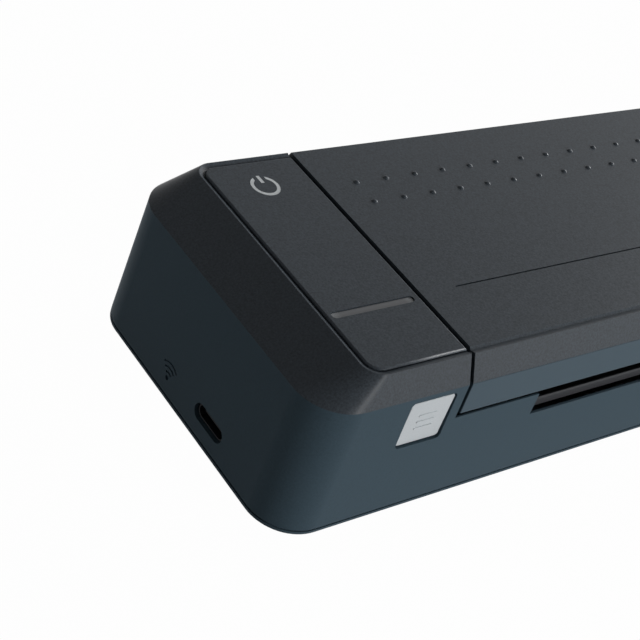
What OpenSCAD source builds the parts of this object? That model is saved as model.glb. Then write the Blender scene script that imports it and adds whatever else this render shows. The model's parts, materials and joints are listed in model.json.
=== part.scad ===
// Portable page-width thermal printer, closed, standing on its feet.
// Millimetres, +Z up, +X along the length with the control panel at -X, -Y is the
// paper exit side. The origin is the middle of the footprint, on the surface it stands on.
// Inside placed() the sizes count from the left end, the front face and the housing's underside.

/* [Body] */
// Overall length
body_l = 310; // [305:1:380]
// Depth at the belt line
body_w = 67.6; // [66:0.2:84]
// Height of the line where the painted tops meet the housing
belt_z = 29.9; // [29:0.1:38]
// Height of the painted tops above that line
top_h = 5.5; // [5.2:0.1:8]
// Thickness of the housing walls
wall = 2; // [1.6:0.1:2.4]
// Radius of the four upright corners
corner_r = 9.5; // [8:0.5:12]
// Radius of the corners of the flat top
top_corner_r = 4; // [3.5:0.5:6]
// Run of the long slope at each end
end_bevel = 11.8; // [11:0.2:13]
// Run of the steep slope along the front and the back
long_bevel = 2.6; // [2:0.1:4]
// Lean of each end face between its foot and the belt line
end_draft = 1.2; // [0:0.1:2]
// Lean of the front and back faces between their foot and the belt line
side_draft = 0.8; // [0:0.1:0.9]
// Height of the seam between bottom cover and housing
seam_z = 1.3; // [1.1:0.1:2]
// Height of the shadow groove under that seam
seam_groove = 0.4; // [0.2:0.05:0.5]
// Chamfer of the bottom cover's lower edge
foot_chamfer = 0.3; // [0.1:0.05:0.5]
// Height of the rubber feet
foot_h = 1.2; // [1:0.1:3]

/* [Caps and lid] */
// Length of the left cap, which carries the control panel
left_cap_l = 35.2; // [34:0.1:44]
// Length of the plain right cap
right_cap_l = 19.3; // [19:0.1:26]
// Gap between a cap and the lid
cap_gap = 0.9; // [0.6:0.1:1.5]
// Height of the lid's front skirt below the belt line
skirt_h = 7.4; // [7:0.1:9]
// Gap under the front skirt
skirt_gap = 0.8; // [0.4:0.1:1]
// Angle to which the lid opens
lid_open = 75; // [60:1:78]
// Radius of the hinge pins
hinge_pin_r = 1.25; // [1:0.05:1.4]

/* [Top pattern] */
// Distance between the raised dots in a row
dot_pitch = 7.88; // [6:0.01:10]
// Diameter of a dot at its foot
dot_d = 1.4; // [1:0.1:2.4]
// Height of a dot
dot_height = 0.4; // [0.2:0.05:0.5]
// Least distance from a lid end to the first dot
dot_margin = 8.5; // [6:0.1:14]
// Distance of the line across the lid from the front
line_y = 19.5; // [12:0.1:30]

/* [Paper path] */
// Distance of the paper slot from the left end
slot_x = 57.6; // [57:0.1:62]
// Width of the paper slot
slot_w = 217; // [105:1:217]
// Height of the paper slot under the skirt's edge
slot_h = 6.15; // [5.5:0.05:7]
// Diameter of the platen roller
platen_d = 10; // [9:0.5:10.5]
// Distance of the platen's axis from the front
platen_y = 13; // [12.5:0.1:14]
// Diameter of the platen's shaft
platen_shaft_d = 5; // [4:0.5:5]

/* [Push button] */
// Left edge of the button
button_x = 22.3; // [21:0.1:22.5]
// Width of the button
button_w = 10.3; // [9:0.1:10.4]
// Height of the button
button_h = 10.6; // [9:0.1:10.8]
// Distance of the button's upper edge below the belt line
button_drop = 1.5; // [1.4:0.1:2]
// Depth to which the button's face is sunk
button_sink = 0.1; // [0.1:0.05:0.6]
// Travel of the button
button_travel = 1.5; // [1:0.1:2]

/* [Control panel] */
// Distance of the panel's left edge from the left end
panel_x = 13.1; // [13:0.1:14]
// Distance of the panel's front edge from the front face
panel_y = 3.95; // [3.9:0.05:5]
// Thickness of the panel
panel_t = 1.3; // [1:0.1:1.6]
// Outer radius of the power sign
sign_r = 3.1; // [2.5:0.1:4]
// Stroke of the power sign
sign_stroke = 0.75; // [0.5:0.05:0.9]
// Length of the light bar
light_l = 19.5; // [12:0.5:19.5]
// Width of the light bar
light_w = 1.7; // [1.4:0.1:2.4]

/* [Drive] */
// Gear module
gear_m = 0.5; // [0.5:0.05:0.55]
// Teeth on the platen gear
platen_teeth = 20; // [18:1:20]
// Teeth on the idler gear
idler_teeth = 28; // [24:1:28]
// Teeth on the motor pinion
pinion_teeth = 12; // [12:1:14]
// Diameter of the stepping motor
motor_d = 14; // [12:0.5:14]

/* [Hidden] */
$fn = 48;

graphite = "#45474B";
slate = "#3E4A53";
silver = "#BCC2C6";
steel = "#A6A9AC";
black = "#1B1D1F";

skin = 0.01;          // thickness of the slices that the hulls span
shaft_fit = 0.05;     // radial play of a turning shaft
seat_fit = 0.02;      // radial play of a fixed pin or pressed piece
slide_fit = 0.35;     // gap round the button
over = 1;             // how far a cut runs past the solid

top_z = belt_z + top_h;
floor_z = seam_z + 0.3;
lid_x0 = left_cap_l + cap_gap;
right_cap_x = body_l - right_cap_l;
lid_x1 = right_cap_x - cap_gap;
skirt_z = belt_z - skirt_h;
front_wall_z = skirt_z - skirt_gap;
rear_wall_z = skirt_z - 1.1;
rear_skirt_z = rear_wall_z + 3.8;
bay_x = [left_cap_l, right_cap_x];
web_in = wall - side_draft - 0.3;
lip_t = 0.15;         // how far the long walls' bevelled edges stay level, behind the front face
lip_slope = 1.6;

// Groove between the rim and the raised part of the top
groove_z = top_z - 0.55;
groove_y = panel_y - 0.15;
groove_x = panel_x - 0.2;
crease = 0.3;

// Hinge: its axis lies inside the rear edge of the lid
hinge_yz = [body_w - 5.1, belt_z - 2.5];
knuckle_r = hinge_pin_r + 1.15;
knuckle_l = 8;
hinge_pin_in = 4;

// Lid frame
plate_t = 1.5;
plate_z = belt_z - plate_t;
skirt_t = 1.8;
skirt_out = side_draft * (belt_z - skirt_z) / (belt_z - seam_z);
end_wall_z = rear_skirt_z - 1.2;
lid_screw_x = [for (share = [1, 3, 5]) lid_x0 + (lid_x1 - lid_x0) * share / 6];
lid_screw_y = [28, body_w - 17.6];
cover_ceiling = top_z - 2;

// Deck, tray and frames
deck_t = 1.5;
deck_z = rear_wall_z - deck_t;
deck_y = platen_y + 10.2;
tray_t = 1.2;
tray_z = floor_z + tray_t;
tray_y = [4, body_w - 9.1];
frame_t = 1.2;
slot_x1 = slot_x + slot_w;
frame_l_x = slot_x - 2.6 - frame_t;
frame_r_x = slot_x1 + 2.4;
frame_y = [5, tray_y[1] - 0.5];

// Platen and its gears
platen_r = platen_d / 2;
shaft_r = platen_shaft_d / 2;
platen_yz = [platen_y, rear_wall_z - 0.8 - platen_r];
platen_x = [slot_x + 0.5, slot_x1 - 0.5];
mesh_a = gear_m * (platen_teeth + idler_teeth) / 2;
mesh_b = gear_m * (idler_teeth + pinion_teeth) / 2;
idler_drop = 4.8;
pinion_drop = 0.8;
idler_yz = [platen_yz[0] + sqrt(mesh_a * mesh_a - idler_drop * idler_drop),
    platen_yz[1] - idler_drop];
motor_yz = [idler_yz[0] + sqrt(mesh_b * mesh_b - pinion_drop * pinion_drop),
    idler_yz[1] - pinion_drop];
line_a = atan2(idler_yz[1] - platen_yz[1], idler_yz[0] - platen_yz[0]);
line_b = atan2(motor_yz[1] - idler_yz[1], motor_yz[0] - idler_yz[0]);
idler_phase = line_a + 180 + 180 / idler_teeth;
idler_step = 360 / idler_teeth;
turns_back = (line_b - idler_phase) / idler_step;
idler_lag = (turns_back - floor(turns_back)) * idler_step;
pinion_phase = line_b + 180 + idler_lag * idler_teeth / pinion_teeth + 180 / pinion_teeth;
gear_x = [frame_r_x + frame_t + 1.5, frame_r_x + frame_t + 5.5];
idler_pin_r = 1.5;
motor_shaft_r = 1;
motor_x = [frame_r_x - 25, frame_r_x];
motor_boss_r = 3;
motor_screw_out = 5.2;
flat_lead_t = 0.3;
cable_y = [motor_yz[0] - 2, motor_yz[0] + 2];

// Print head, carried by the lid above the platen
blade_y = 1.25;
blade_z = [skirt_z - slot_h + 0.05, skirt_z - slot_h + 2.2];
shelf_z = blade_z[0] + 0.8;
sensor_x = slot_x + slot_w / 2;
head_gap = 0.2;
head_z = platen_yz[1] + platen_r + head_gap;
head_y = [platen_y - 5.5, platen_y + 9.5];
head_t = 1;
sink_z = head_z + head_t;
sink_top = sink_z + 3.5;
bracket_t = 1.6;
flex_w = 12;
flex_gap = 7.5;
spring_count = 5;

// Button, its window and its latch
button_z = belt_z - button_drop - button_h;
button_mid = [button_x + button_w / 2, button_z + button_h / 2];
button_r = 0.7;
flange_y = [wall + 0.4, wall + 1.2];
arm_z = [skirt_z - 3, skirt_z - 1.2];
arm_y = [9.4, 11.4];
hook_x = [lid_x0 + 1.9, lid_x0 + 4.9];
hook_reach = 0.7;
catch_y = [6, 7.4];
catch_nose = 1;
spring_y = [12.3, 19.7];
spring_r = 2.1;
spring_wire = 0.25;
spring_turns = 7;

// Control panel and what lies under it
panel_z = top_z - panel_t;
roof_t = 1.2;
roof_z = panel_z - roof_t;
sign_xy = [23.8, body_w - 11.65];
light_xy = [23.95, 18.75];
key_board_z = [belt_z - 0.5, belt_z + 0.5];
key_board_x = [13.6, left_cap_l - wall - 0.6];
key_board_y = [12, body_w - 8];
key_post_xy = [for (y = [key_board_y[0] + 2.5, key_board_y[1] - 20])
    [key_board_x[0] + 2.5, y]];
switch_z = key_board_z[1] + 1.3;
plunger_r = 1.8;

// Main board and the charging socket
usb_yz = [25.2, 6.3];
usb_size = [9.6, 3.7];
usb_shell = [8.94, 3.2];
usb_x = [0.9, 8.2];
wireless_yz = [39.95, 4.5];
wireless_arc_r = [1.5, 2.6, 3.7];
wireless_stroke = 0.4;
board_z = [usb_yz[1] - usb_shell[1] / 2 - 1.2, usb_yz[1] - usb_shell[1] / 2];
board_x = [wall + 0.8, left_cap_l - wall - 0.4];
board_y = [13, body_w - 13.6];
board_post_xy = [for (x = [board_x[0] + 10, board_x[1] - 3], y = [board_y[0] + 3, board_y[1] - 3])
    [x, y]];

// Battery
cell_r = 8.2;
cell_l = 50;
cell_x = frame_l_x + 14;
cell_yz = [tray_y[1] - cell_r - 1.4, tray_z + cell_r + 0.5];
lead_x = board_x[1] - 3.8;
lead_y = cell_yz[0] - 6;

// Screws and feet
screw_r = 1.05;
screw_head_r = 2.2;
boss_r = 2.75;
pad_z = floor_z + 1.4;
bottom_screw_xy = [[12, 9.5], [12, body_w - 9.5], [body_l - 10, 11], [body_l - 10, body_w - 11],
    [left_cap_l + 9.8, body_w - 5], [right_cap_x - 5.7, body_w - 5]];
foot_r = 5;
foot_sink = 0.4;
foot_xy = [for (x = [25, body_l - 25], y = [13, body_w - 13]) [x, y]];
deck_screw_xy = [for (x = [left_cap_l + 2.2, right_cap_x - 2.2], y = [deck_y + 8, body_w - 14])
    [x, y]];

// Outline of the housing at a height; below the seam it stays as it is there
function low_line(z, in = 0) =
    let (up = max(0, z - seam_z) / (belt_z - seam_z),
        x = end_draft * up + in,
        y = in - side_draft * (1 - up))
    [z, x, body_l - x, y, body_w - y, corner_r - in];
function span(mid, low, high) = [mid + low, mid + high];
function gear_outline(teeth, phase) =
    let (pitch_r = gear_m * teeth / 2, step = 360 / teeth,
        flank = [[pitch_r - 1.15 * gear_m, 0.27], [pitch_r, 0.215], [pitch_r + 0.85 * gear_m, 0.11]])
    [for (tooth = [0:teeth - 1], side = [-1, 1], i = [0:2])
        let (p = side < 0 ? flank[i] : flank[2 - i], a = phase + step * (tooth + side * p[1]))
        p[0] * [cos(a), sin(a)]];

// ---------------------------------------------------------------- helpers
module placed() translate([-body_l / 2, -body_w / 2, foot_h]) children();

module block(x, y, z)
    translate([x[0], y[0], z[0]]) cube([x[1] - x[0], y[1] - y[0], z[1] - z[0]]);

module rod_x(x, yz, r) translate([x[0], yz[0], yz[1]]) rotate([0, 90, 0]) cylinder(r = r, h = x[1] - x[0]);
module rod_y(y, xz, r) translate([xz[0], y[0], xz[1]]) rotate([-90, 0, 0]) cylinder(r = r, h = y[1] - y[0]);
module rod_z(z, xy, r) translate([xy[0], xy[1], z[0]]) cylinder(r = r, h = z[1] - z[0]);

// Upright plane profiles: (Y, Z) swept along X, and (X, Z) swept along Y
module run_x(x) translate([x[0], 0, 0]) rotate([90, 0, 90]) linear_extrude(x[1] - x[0]) children();
module run_y(y) translate([0, y[1], 0]) rotate([90, 0, 0]) linear_extrude(y[1] - y[0]) children();
module run_z(z) translate([0, 0, z[0]]) linear_extrude(z[1] - z[0]) children();

module round_rect(w, h, r) {
    square([w, h - 2 * r], center = true);
    square([w - 2 * r, h], center = true);
    for (x = [-1, 1], y = [-1, 1]) translate([x * (w / 2 - r), y * (h / 2 - r)]) circle(r);
}

// Outline of the foot and all below the seam, drawn in by in
module low_outline(in = 0) translate([body_l / 2, body_w / 2])
    round_rect(body_l - 2 * in, body_w + 2 * side_draft - 2 * in, corner_r - in);

// Solid round level outlines, each [z, x0, x1, y0, y1, corner radius]
module between(low, high, middle = [])
    hull() for (s = concat([low, high], middle),
        x = [s[1] + s[5], s[2] - s[5]], y = [s[3] + s[5], s[4] - s[5]])
        translate([x, y, s[0]]) cylinder(r = s[5], h = skin, $fn = 72);

// ---------------------------------------------------------------- housing
module base_housing() placed() color(slate) difference() {
    union() {
        difference() {
            between(low_line(seam_z), low_line(belt_z - skin));
            between(low_line(seam_z - over, wall), low_line(belt_z + over, wall));
        }
        for (x = [left_cap_l - wall, right_cap_x])
            block([x, x + wall], [web_in, body_w - web_in], [floor_z + 0.2, belt_z]);
        for (xy = bottom_screw_xy) rod_z([pad_z + 0.1, 15], xy, boss_r);
        corner_ribs();
        deck_ledges();
        spring_post();
    }
    lid_bay();
    paper_slot();
    usb_hole();
    wireless_mark();
    run_y([-over, wall + over]) translate(button_mid)
        round_rect(button_w + 2 * slide_fit, button_h + 2 * slide_fit, button_r + slide_fit);
    latch_window();
    cable_notch();
    rod_x([left_cap_l - wall - over, right_cap_x + wall + over], hinge_yz, hinge_pin_r + seat_fit);
    for (xy = bottom_screw_xy) rod_z([0, 12.5], xy, screw_r + shaft_fit);
    for (xy = deck_screw_xy) rod_z([deck_z - 4, deck_z + over], xy, screw_r + shaft_fit);
}

// Webs that tie the screw bosses to the walls
module corner_ribs()
    for (xy = bottom_screw_xy) {
        side = xy[1] < body_w / 2 ? 0 : 1;
        y = side == 0 ? [web_in, xy[1]] : [xy[1], body_w - web_in];
        block([xy[0] - 0.6, xy[0] + 0.6], y, [pad_z + 0.1, 14]);
    }

module deck_ledges()
    for (x = [left_cap_l - 0.5, right_cap_x - 4.4])
        block([x, x + 4.9], [deck_y + 4, body_w - 10], [deck_z - 2.5, deck_z]);

module spring_post()
    block([button_mid[0] - 3, left_cap_l - wall + 0.5], [spring_y[1] + 0.1, spring_y[1] + 1.9],
        [button_mid[1] - 3.2, button_mid[1] + 3.2]);

// The lid lies between the caps: both long walls are lower there, and the front one is
// bevelled inwards, so that the gap under the skirt is a dark line
module lid_bay() {
    run_x(bay_x) polygon([[-over, belt_z + over], [-over, front_wall_z], [lip_t, front_wall_z],
        [wall + over, front_wall_z - lip_slope * (wall + over - lip_t)], [wall + over, belt_z + over]]);
    block(bay_x, [body_w - wall - over, body_w + over], [rear_wall_z, belt_z + over]);
}

// Mouth in the front wall; its lower lip is bevelled inwards too
module paper_slot()
    run_x([slot_x, slot_x1]) let (z = skirt_z - slot_h)
        polygon([[-over, skirt_z], [-over, z], [lip_t, z],
            [wall + over, z - lip_slope * (wall + over - lip_t)], [wall + over, skirt_z]]);

module usb_hole()
    run_x([-over, wall + over]) translate(usb_yz)
        round_rect(usb_size[0], usb_size[1], usb_size[1] / 2 - skin);

// Engraved sign over a pin hole: three arcs, as wireless devices carry
module wireless_mark()
    run_x([-over, 0.5]) translate(wireless_yz) {
        circle(0.5);
        for (r = wireless_arc_r) intersection() {
            difference() {
                circle(r);
                circle(r - wireless_stroke);
            }
            polygon([[0, 0], [-4, 4.6], [0, 7], [4, 4.6]]);
        }
    }

module latch_window()
    block([left_cap_l - wall - over, left_cap_l + over],
        [arm_y[0] - 0.6, arm_y[1] + button_travel + 0.6], [arm_z[0] - 0.6, arm_z[1] + 0.6]);

module cable_notch()
    block([left_cap_l - wall - over, left_cap_l + over], [cable_y[0] - 1, lead_y + 3], [0, tray_z + 5]);

module bottom_cover() placed() color(slate) difference() {
    union() {
        run_z([foot_chamfer, seam_z - seam_groove - skin]) low_outline();
        run_z([foot_chamfer + 0.1, seam_z - skin]) low_outline(seam_groove);
        between(low_line(0, foot_chamfer), low_line(foot_chamfer + 0.05, 0.02),
            [low_line(foot_chamfer, 0.02)]);
        between(low_line(seam_z - 0.5, wall + 0.2), low_line(floor_z - skin, wall + 0.2));
        for (xy = bottom_screw_xy) rod_z([floor_z - 0.5, pad_z], xy, boss_r);
        for (xy = board_post_xy) rod_z([floor_z - 0.5, board_z[0]], xy, 2.2);
    }
    for (xy = bottom_screw_xy) {
        rod_z([-over, seam_z + 0.1], xy, screw_head_r + 0.3);
        rod_z([0, pad_z + over], xy, screw_r + 0.35);
    }
    for (xy = board_post_xy) rod_z([floor_z, board_z[0] + over], xy, 0.75);
    for (xy = foot_xy) rod_z([-over, foot_sink], xy, foot_r + 0.1);
    // Plain sunk field in the middle of the underside
    run_z([-over, 0.25]) translate([body_l / 2, body_w / 2]) round_rect(90, 26, 2);
}

module rubber_feet() placed() color(black)
    for (xy = foot_xy) translate([xy[0], xy[1], -foot_h]) {
        cylinder(r1 = foot_r - 0.5, r2 = foot_r, h = 0.5);
        translate([0, 0, 0.5]) cylinder(r = foot_r, h = foot_h - 0.5 + foot_sink);
    }

// Screw standing on its head's underside at z, shank upwards; a negative length points down
module screw(xy, z, l, head_h = 1) {
    up = sign(l);
    translate([xy[0], xy[1], z]) mirror([0, 0, up > 0 ? 0 : 1]) {
        cylinder(r = screw_r, h = abs(l));
        difference() {
            translate([0, 0, -head_h]) cylinder(r = screw_head_r, h = head_h);
            for (a = [0, 90]) rotate(a) translate([0, 0, -head_h])
                cube([2.4, 0.5, 1.2], center = true);
        }
    }
}

module bottom_screws() placed() color(steel) for (xy = bottom_screw_xy) screw(xy, seam_z + 0.1, 10);

// ---------------------------------------------------------------- painted tops
module top_body()
    between(low_line(belt_z), [top_z - skin, end_bevel, body_l - end_bevel,
        long_bevel, body_w - long_bevel, top_corner_r]);

module top_cavity()
    between([belt_z - skin, end_draft + 3.4, body_l - end_draft - 3.4, wall, body_w - wall, corner_r - wall],
        [roof_z - skin, end_bevel - 1.3, body_l - end_bevel + 1.3, long_bevel + 0.7,
        body_w - long_bevel - 0.7, top_corner_r]);

// One cap of length l, at the left end: shell, seat for its panel and the groove round it
module cap_shell(l) difference() {
    intersection() {
        top_body();
        block([-over, l], [-over, body_w + over], [0, top_z + over]);
    }
    intersection() {
        top_cavity();
        block([-over, l - wall], [-over, body_w + over], [0, top_z]);
    }
    run_z([panel_z, top_z + over]) panel_shape(l + over, -0.12);
    between([groove_z, groove_x, body_l - groove_x, groove_y, body_w - groove_y, 3.2],
        [top_z, end_bevel + 0.15, body_l - end_bevel - 0.15, long_bevel + 0.15,
        body_w - long_bevel - 0.15, top_corner_r - 0.1]);
}

// Outline of a panel from its left edge to x: the two left corners are round
module panel_shape(x, in = 0) {
    r = 3 - in;
    w = body_w - 2 * (panel_y + in);
    translate([panel_x + in, panel_y + in]) {
        translate([r, 0]) square([x - panel_x - in - r, w]);
        translate([0, r]) square([r + 1, w - 2 * r]);
        for (y = [r, w - r]) translate([r, y]) circle(r);
    }
}

// Clips that hold a cap down inside the housing's wall
module cap_clips(x)
    for (y = [wall + 0.15, body_w - wall - 1.35])
        block([x, x + 5], [y, y + 1.2], [belt_z - 3, belt_z + 0.4]);

module left_top_shell() placed() color(graphite) difference() {
    union() {
        cap_shell(left_cap_l);
        cap_clips(button_x - 7.8);
        for (xy = key_post_xy) rod_z([key_board_z[1], roof_z + 0.5], xy, 2);
    }
    rod_z([roof_z - over, panel_z + over], sign_xy, plunger_r + 0.15);
    run_z([roof_z - over, panel_z + over]) translate(light_xy)
        round_rect(light_l - 1.6, light_w - 0.5, 0.5);
    for (xy = key_post_xy) rod_z([key_board_z[1] - over, roof_z], xy, 0.75);
}

module right_top_shell() placed() color(graphite) {
    translate([body_l, 0, 0]) mirror([1, 0, 0]) cap_shell(right_cap_l);
    cap_clips(right_cap_x + wall + 3);
}

// Power sign: an open ring with a bar in its gap; grow widens the strokes
module sign_shape(grow = 0) {
    difference() {
        circle(sign_r + grow);
        circle(sign_r - sign_stroke - grow);
        translate([0.05, sign_r]) square([2.6 - 2 * grow, 2 * sign_r - 1], center = true);
    }
    translate([0.05, 2.1]) square([0.8 + 2 * grow, 2.3 + 2 * grow], center = true);
}

module control_panel() placed() color(graphite) difference() {
    run_z([panel_z, top_z]) panel_shape(left_cap_l);
    run_z([top_z - 0.3, top_z + over]) translate(sign_xy) sign_shape(seat_fit);
    run_z([panel_z - over, top_z + over]) translate(light_xy)
        round_rect(light_l + 2 * seat_fit, light_w + 2 * seat_fit, light_w / 2);
}

module power_symbol() placed() color(silver)
    run_z([top_z - 0.3, top_z - 0.02]) translate(sign_xy) sign_shape();

module light_bar_window() placed() color("#8A8F94")
    run_z([panel_z, top_z - 0.25]) translate(light_xy)
        round_rect(light_l, light_w, light_w / 2 - skin);

module blank_panel() placed() color(graphite)
    translate([body_l, 0, 0]) mirror([1, 0, 0]) run_z([panel_z, top_z]) panel_shape(right_cap_l);

// ---------------------------------------------------------------- electronics
module key_board() placed() color("#1E5A3A") {
    difference() {
        block(key_board_x, key_board_y, key_board_z);
        for (xy = key_post_xy) rod_z([0, top_z], xy, 0.9);
    }
    block([20, 26], [34, 40], [key_board_z[1], key_board_z[1] + 0.8]);
}

module status_leds() placed() color("#DDE3E6")
    for (i = [0:4]) {
        x = light_xy[0] + (i - 2) * 3.8;
        block([x - 0.8, x + 0.8], [light_xy[1] - 0.4, light_xy[1] + 0.4],
            [key_board_z[1], key_board_z[1] + 0.6]);
    }

module power_switch() placed() color(black) {
    block([sign_xy[0] - 3, sign_xy[0] + 3], [sign_xy[1] - 3, sign_xy[1] + 3],
        [key_board_z[1], switch_z]);
    rod_z([switch_z, switch_z + 0.2], sign_xy, 1.2);
}

// Plunger between the panel and the switch
module power_plunger() placed() color(black) {
    rod_z([switch_z + 0.5, roof_z - 0.1], sign_xy, plunger_r + 0.8);
    rod_z([switch_z + 0.5, panel_z - 0.1], sign_xy, plunger_r);
}

module main_board() placed() color("#1E5A3A") {
    difference() {
        block(board_x, board_y, board_z);
        for (xy = board_post_xy) rod_z([0, top_z], xy, 0.9);
    }
    // Processor, coil and driver, then the connector that takes the battery leads
    for (chip = [[13, 20, 7, 7, 1], [21, 12, 5, 5, 2.6], [14, 31, 5, 3, 1.2]])
        block(span(board_x[0] + chip[0], 0, chip[2]), span(board_y[0] + chip[1], 0, chip[3]),
            [board_z[1], board_z[1] + chip[4]]);
    block([lead_x - 4, lead_x], span(lead_y, -2.8, 2.8), [board_z[1], board_z[1] + 3]);
}

module board_screws() placed() color(steel) {
    for (xy = board_post_xy) small_screw(xy, board_z[1], -2.6);
    for (xy = key_post_xy) small_screw(xy, key_board_z[0], 2.6);
}

module small_screw(xy, z, l) translate([xy[0], xy[1], z]) mirror([0, 0, l > 0 ? 0 : 1]) {
    cylinder(r = 0.7, h = abs(l));
    translate([0, 0, -0.7]) cylinder(r = 1.4, h = 0.7);
}

// Charging socket: a drawn shell round a contact tongue
module usb_c_receptacle() placed() color(steel) {
    difference() {
        run_x(usb_x) translate(usb_yz) round_rect(usb_shell[0], usb_shell[1], usb_shell[1] / 2 - skin);
        run_x([usb_x[0] - over, usb_x[1] - 0.6]) translate(usb_yz)
            round_rect(usb_shell[0] - 0.6, usb_shell[1] - 0.6, usb_shell[1] / 2 - 0.3 - skin);
    }
    block([usb_x[0] + 0.8, usb_x[1] - 0.3], [usb_yz[0] - 3.3, usb_yz[0] + 3.3],
        [usb_yz[1] - 0.35, usb_yz[1] + 0.35]);
}

module battery_cells() placed() color("#2F6FA8")
    for (i = [0, 1]) {
        x = cell_x + i * (cell_l + 1);
        rod_x([x, x + cell_l], cell_yz, cell_r);
        rod_x([x + cell_l - 0.5, x + cell_l + 0.8], cell_yz, 2.5);
    }

module battery_cradle() placed() color(black) difference() {
    block([cell_x - 2, cell_x + 2 * cell_l + 5], [cell_yz[0] - cell_r - 1, cell_yz[0] + cell_r + 1],
        [tray_z, cell_yz[1] - 2]);
    rod_x([cell_x - 0.2, cell_x + 2 * cell_l + 2], cell_yz, cell_r + 0.1);
}

module battery_leads() placed() color("#A33A32")
    for (y = [-1.5, 1.5]) rod_x([lead_x, cell_x - 2], [lead_y + y, tray_z + 3], 0.6);

// ---------------------------------------------------------------- chassis
module chassis_tray() placed() color(steel) {
    block([left_cap_l + 5, frame_r_x + frame_t], tray_y, [floor_z, tray_z]);
    block([left_cap_l + 8, left_cap_l + 15], [12.2, 13.4], [tray_z - 0.2, skirt_z - 4]);
}

module side_frame(x) difference() {
    block([x, x + frame_t], frame_y, [tray_z, deck_z]);
    rod_x([x - over, x + frame_t + over], platen_yz, shaft_r + 1.5 + seat_fit);
}

module left_side_frame() placed() color(steel) difference() {
    side_frame(frame_l_x);
    block([frame_l_x - over, frame_l_x + frame_t + over], span(lead_y, -3, 3),
        [0, tray_z + 5]);
    block([frame_l_x - over, frame_l_x + frame_t + over], cable_y + [-1, 1], [0, tray_z + 1]);
}

module right_side_frame() placed() color(steel) difference() {
    side_frame(frame_r_x);
    rod_x([frame_r_x - over, frame_r_x + 5], motor_yz, motor_boss_r + 0.1);
    rod_x([frame_r_x - over, frame_r_x + 5], idler_yz, idler_pin_r + seat_fit);
    for (s = [-1, 1]) rod_x([frame_r_x - over, frame_r_x + 5], motor_yz + [0, s * motor_screw_out], 0.8);
}

// Flanged bushes in which the platen's shaft turns
module platen_bushes() placed() color("#C9B37A") for (side = [0, 1]) difference() {
    union() {
        x = side == 0 ? frame_l_x - 1.5 : frame_r_x - 1;
        flange_x = side == 0 ? frame_l_x + frame_t : frame_r_x - 1;
        rod_x([x, x + frame_t + 2.5], platen_yz, shaft_r + 1.5);
        rod_x([flange_x, flange_x + 1], platen_yz, shaft_r + 2.5);
    }
    rod_x([0, body_l], platen_yz, shaft_r + shaft_fit);
}

module paper_deck() placed() color("#2A2D30") difference() {
    block([bay_x[0] + 0.2, bay_x[1] - 0.2], [deck_y, body_w - wall - 0.2], [deck_z, rear_wall_z]);
    // Ribs between shallow channels guide the paper
    for (i = [0:9]) {
        x = slot_x + 6 + i * (slot_w - 12) / 10;
        block([x, x + (slot_w - 12) / 10 - 2.5], [deck_y + 8, body_w - wall - 1.5],
            [rear_wall_z - 0.6, rear_wall_z + over]);
    }
    block([sensor_x - 3, sensor_x + 3], [deck_y + 1.5, deck_y + 4.5], [0, belt_z]);
    for (xy = deck_screw_xy) rod_z([0, belt_z], xy, screw_r + 0.25);
}

module deck_screws() placed() color(steel) for (xy = deck_screw_xy) screw(xy, rear_wall_z, -4.5, 0.8);

// Bar under the mouth: its nose stands in the slot, its ends meet the side frames
// Blade in the mouth on a shelf that reaches back to the side frames
module paper_guide_bar() placed() color(graphite) {
    run_x([slot_x + 0.4, slot_x1 - 0.4])
        polygon([[blade_y, blade_z[0]], [4, blade_z[0]], [4, shelf_z], [blade_y + 0.6, shelf_z],
            [blade_y + 0.6, blade_z[1]], [blade_y + 0.2, blade_z[1]], [blade_y, blade_z[1] - 0.3]]);
    block([frame_l_x + frame_t, frame_r_x], [3.5, platen_y - platen_r - 0.7], [blade_z[0], shelf_z]);
}

module paper_sensor() placed() color(black) {
    block([sensor_x - 5, sensor_x + 5], [deck_y + 0.6, deck_y + 5.4], [deck_z - 3, deck_z]);
    block([sensor_x - 2.8, sensor_x + 2.8], [deck_y + 1.7, deck_y + 4.3], [deck_z - 0.5, rear_wall_z - 0.3]);
}

// Switch that feels the closed lid
module cover_switch() placed() color(black) {
    block([left_cap_l + 8, left_cap_l + 15], [8.2, 12.2], [skirt_z - 9, skirt_z - 3]);
    block([left_cap_l + 10.5, left_cap_l + 12.5], [9.2, 11.2], [skirt_z - 3, skirt_z - 2.2]);
}

module hinge_pins() placed() color(steel) {
    for (side = [0, 1]) {
        out = side == 0 ? left_cap_l - hinge_pin_in : right_cap_x + hinge_pin_in;
        tip = side == 0 ? lid_x0 + knuckle_l - 1.5 : lid_x1 - knuckle_l + 1.5;
        rod_x([min(out, tip), max(out, tip)], hinge_yz, hinge_pin_r);
        head = side == 0 ? [left_cap_l - hinge_pin_in, left_cap_l - wall] :
            [right_cap_x + wall, right_cap_x + hinge_pin_in];
        rod_x(head, hinge_yz, hinge_pin_r + 0.9);
    }
}

// ---------------------------------------------------------------- drive
module drive_motor() placed() color(steel) difference() {
    union() {
        rod_x(motor_x, motor_yz, motor_d / 2);
        rod_x([motor_x[1] - 1, motor_x[1] + frame_t], motor_yz, motor_boss_r);
    }
    rod_x([motor_x[1] - 8, motor_x[1] + 5], motor_yz, motor_shaft_r + shaft_fit);
    for (s = [-1, 1]) rod_x([motor_x[1] - 3, motor_x[1] + 5], motor_yz + [0, s * motor_screw_out], 0.65);
}

module motor_screws() placed() color(steel)
    for (s = [-1, 1]) {
        rod_x([motor_x[1] - 2.5, motor_x[1] + frame_t], motor_yz + [0, s * motor_screw_out], 0.6);
        rod_x([motor_x[1] + frame_t, motor_x[1] + frame_t + 0.6], motor_yz + [0, s * motor_screw_out], 1.3);
    }

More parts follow.
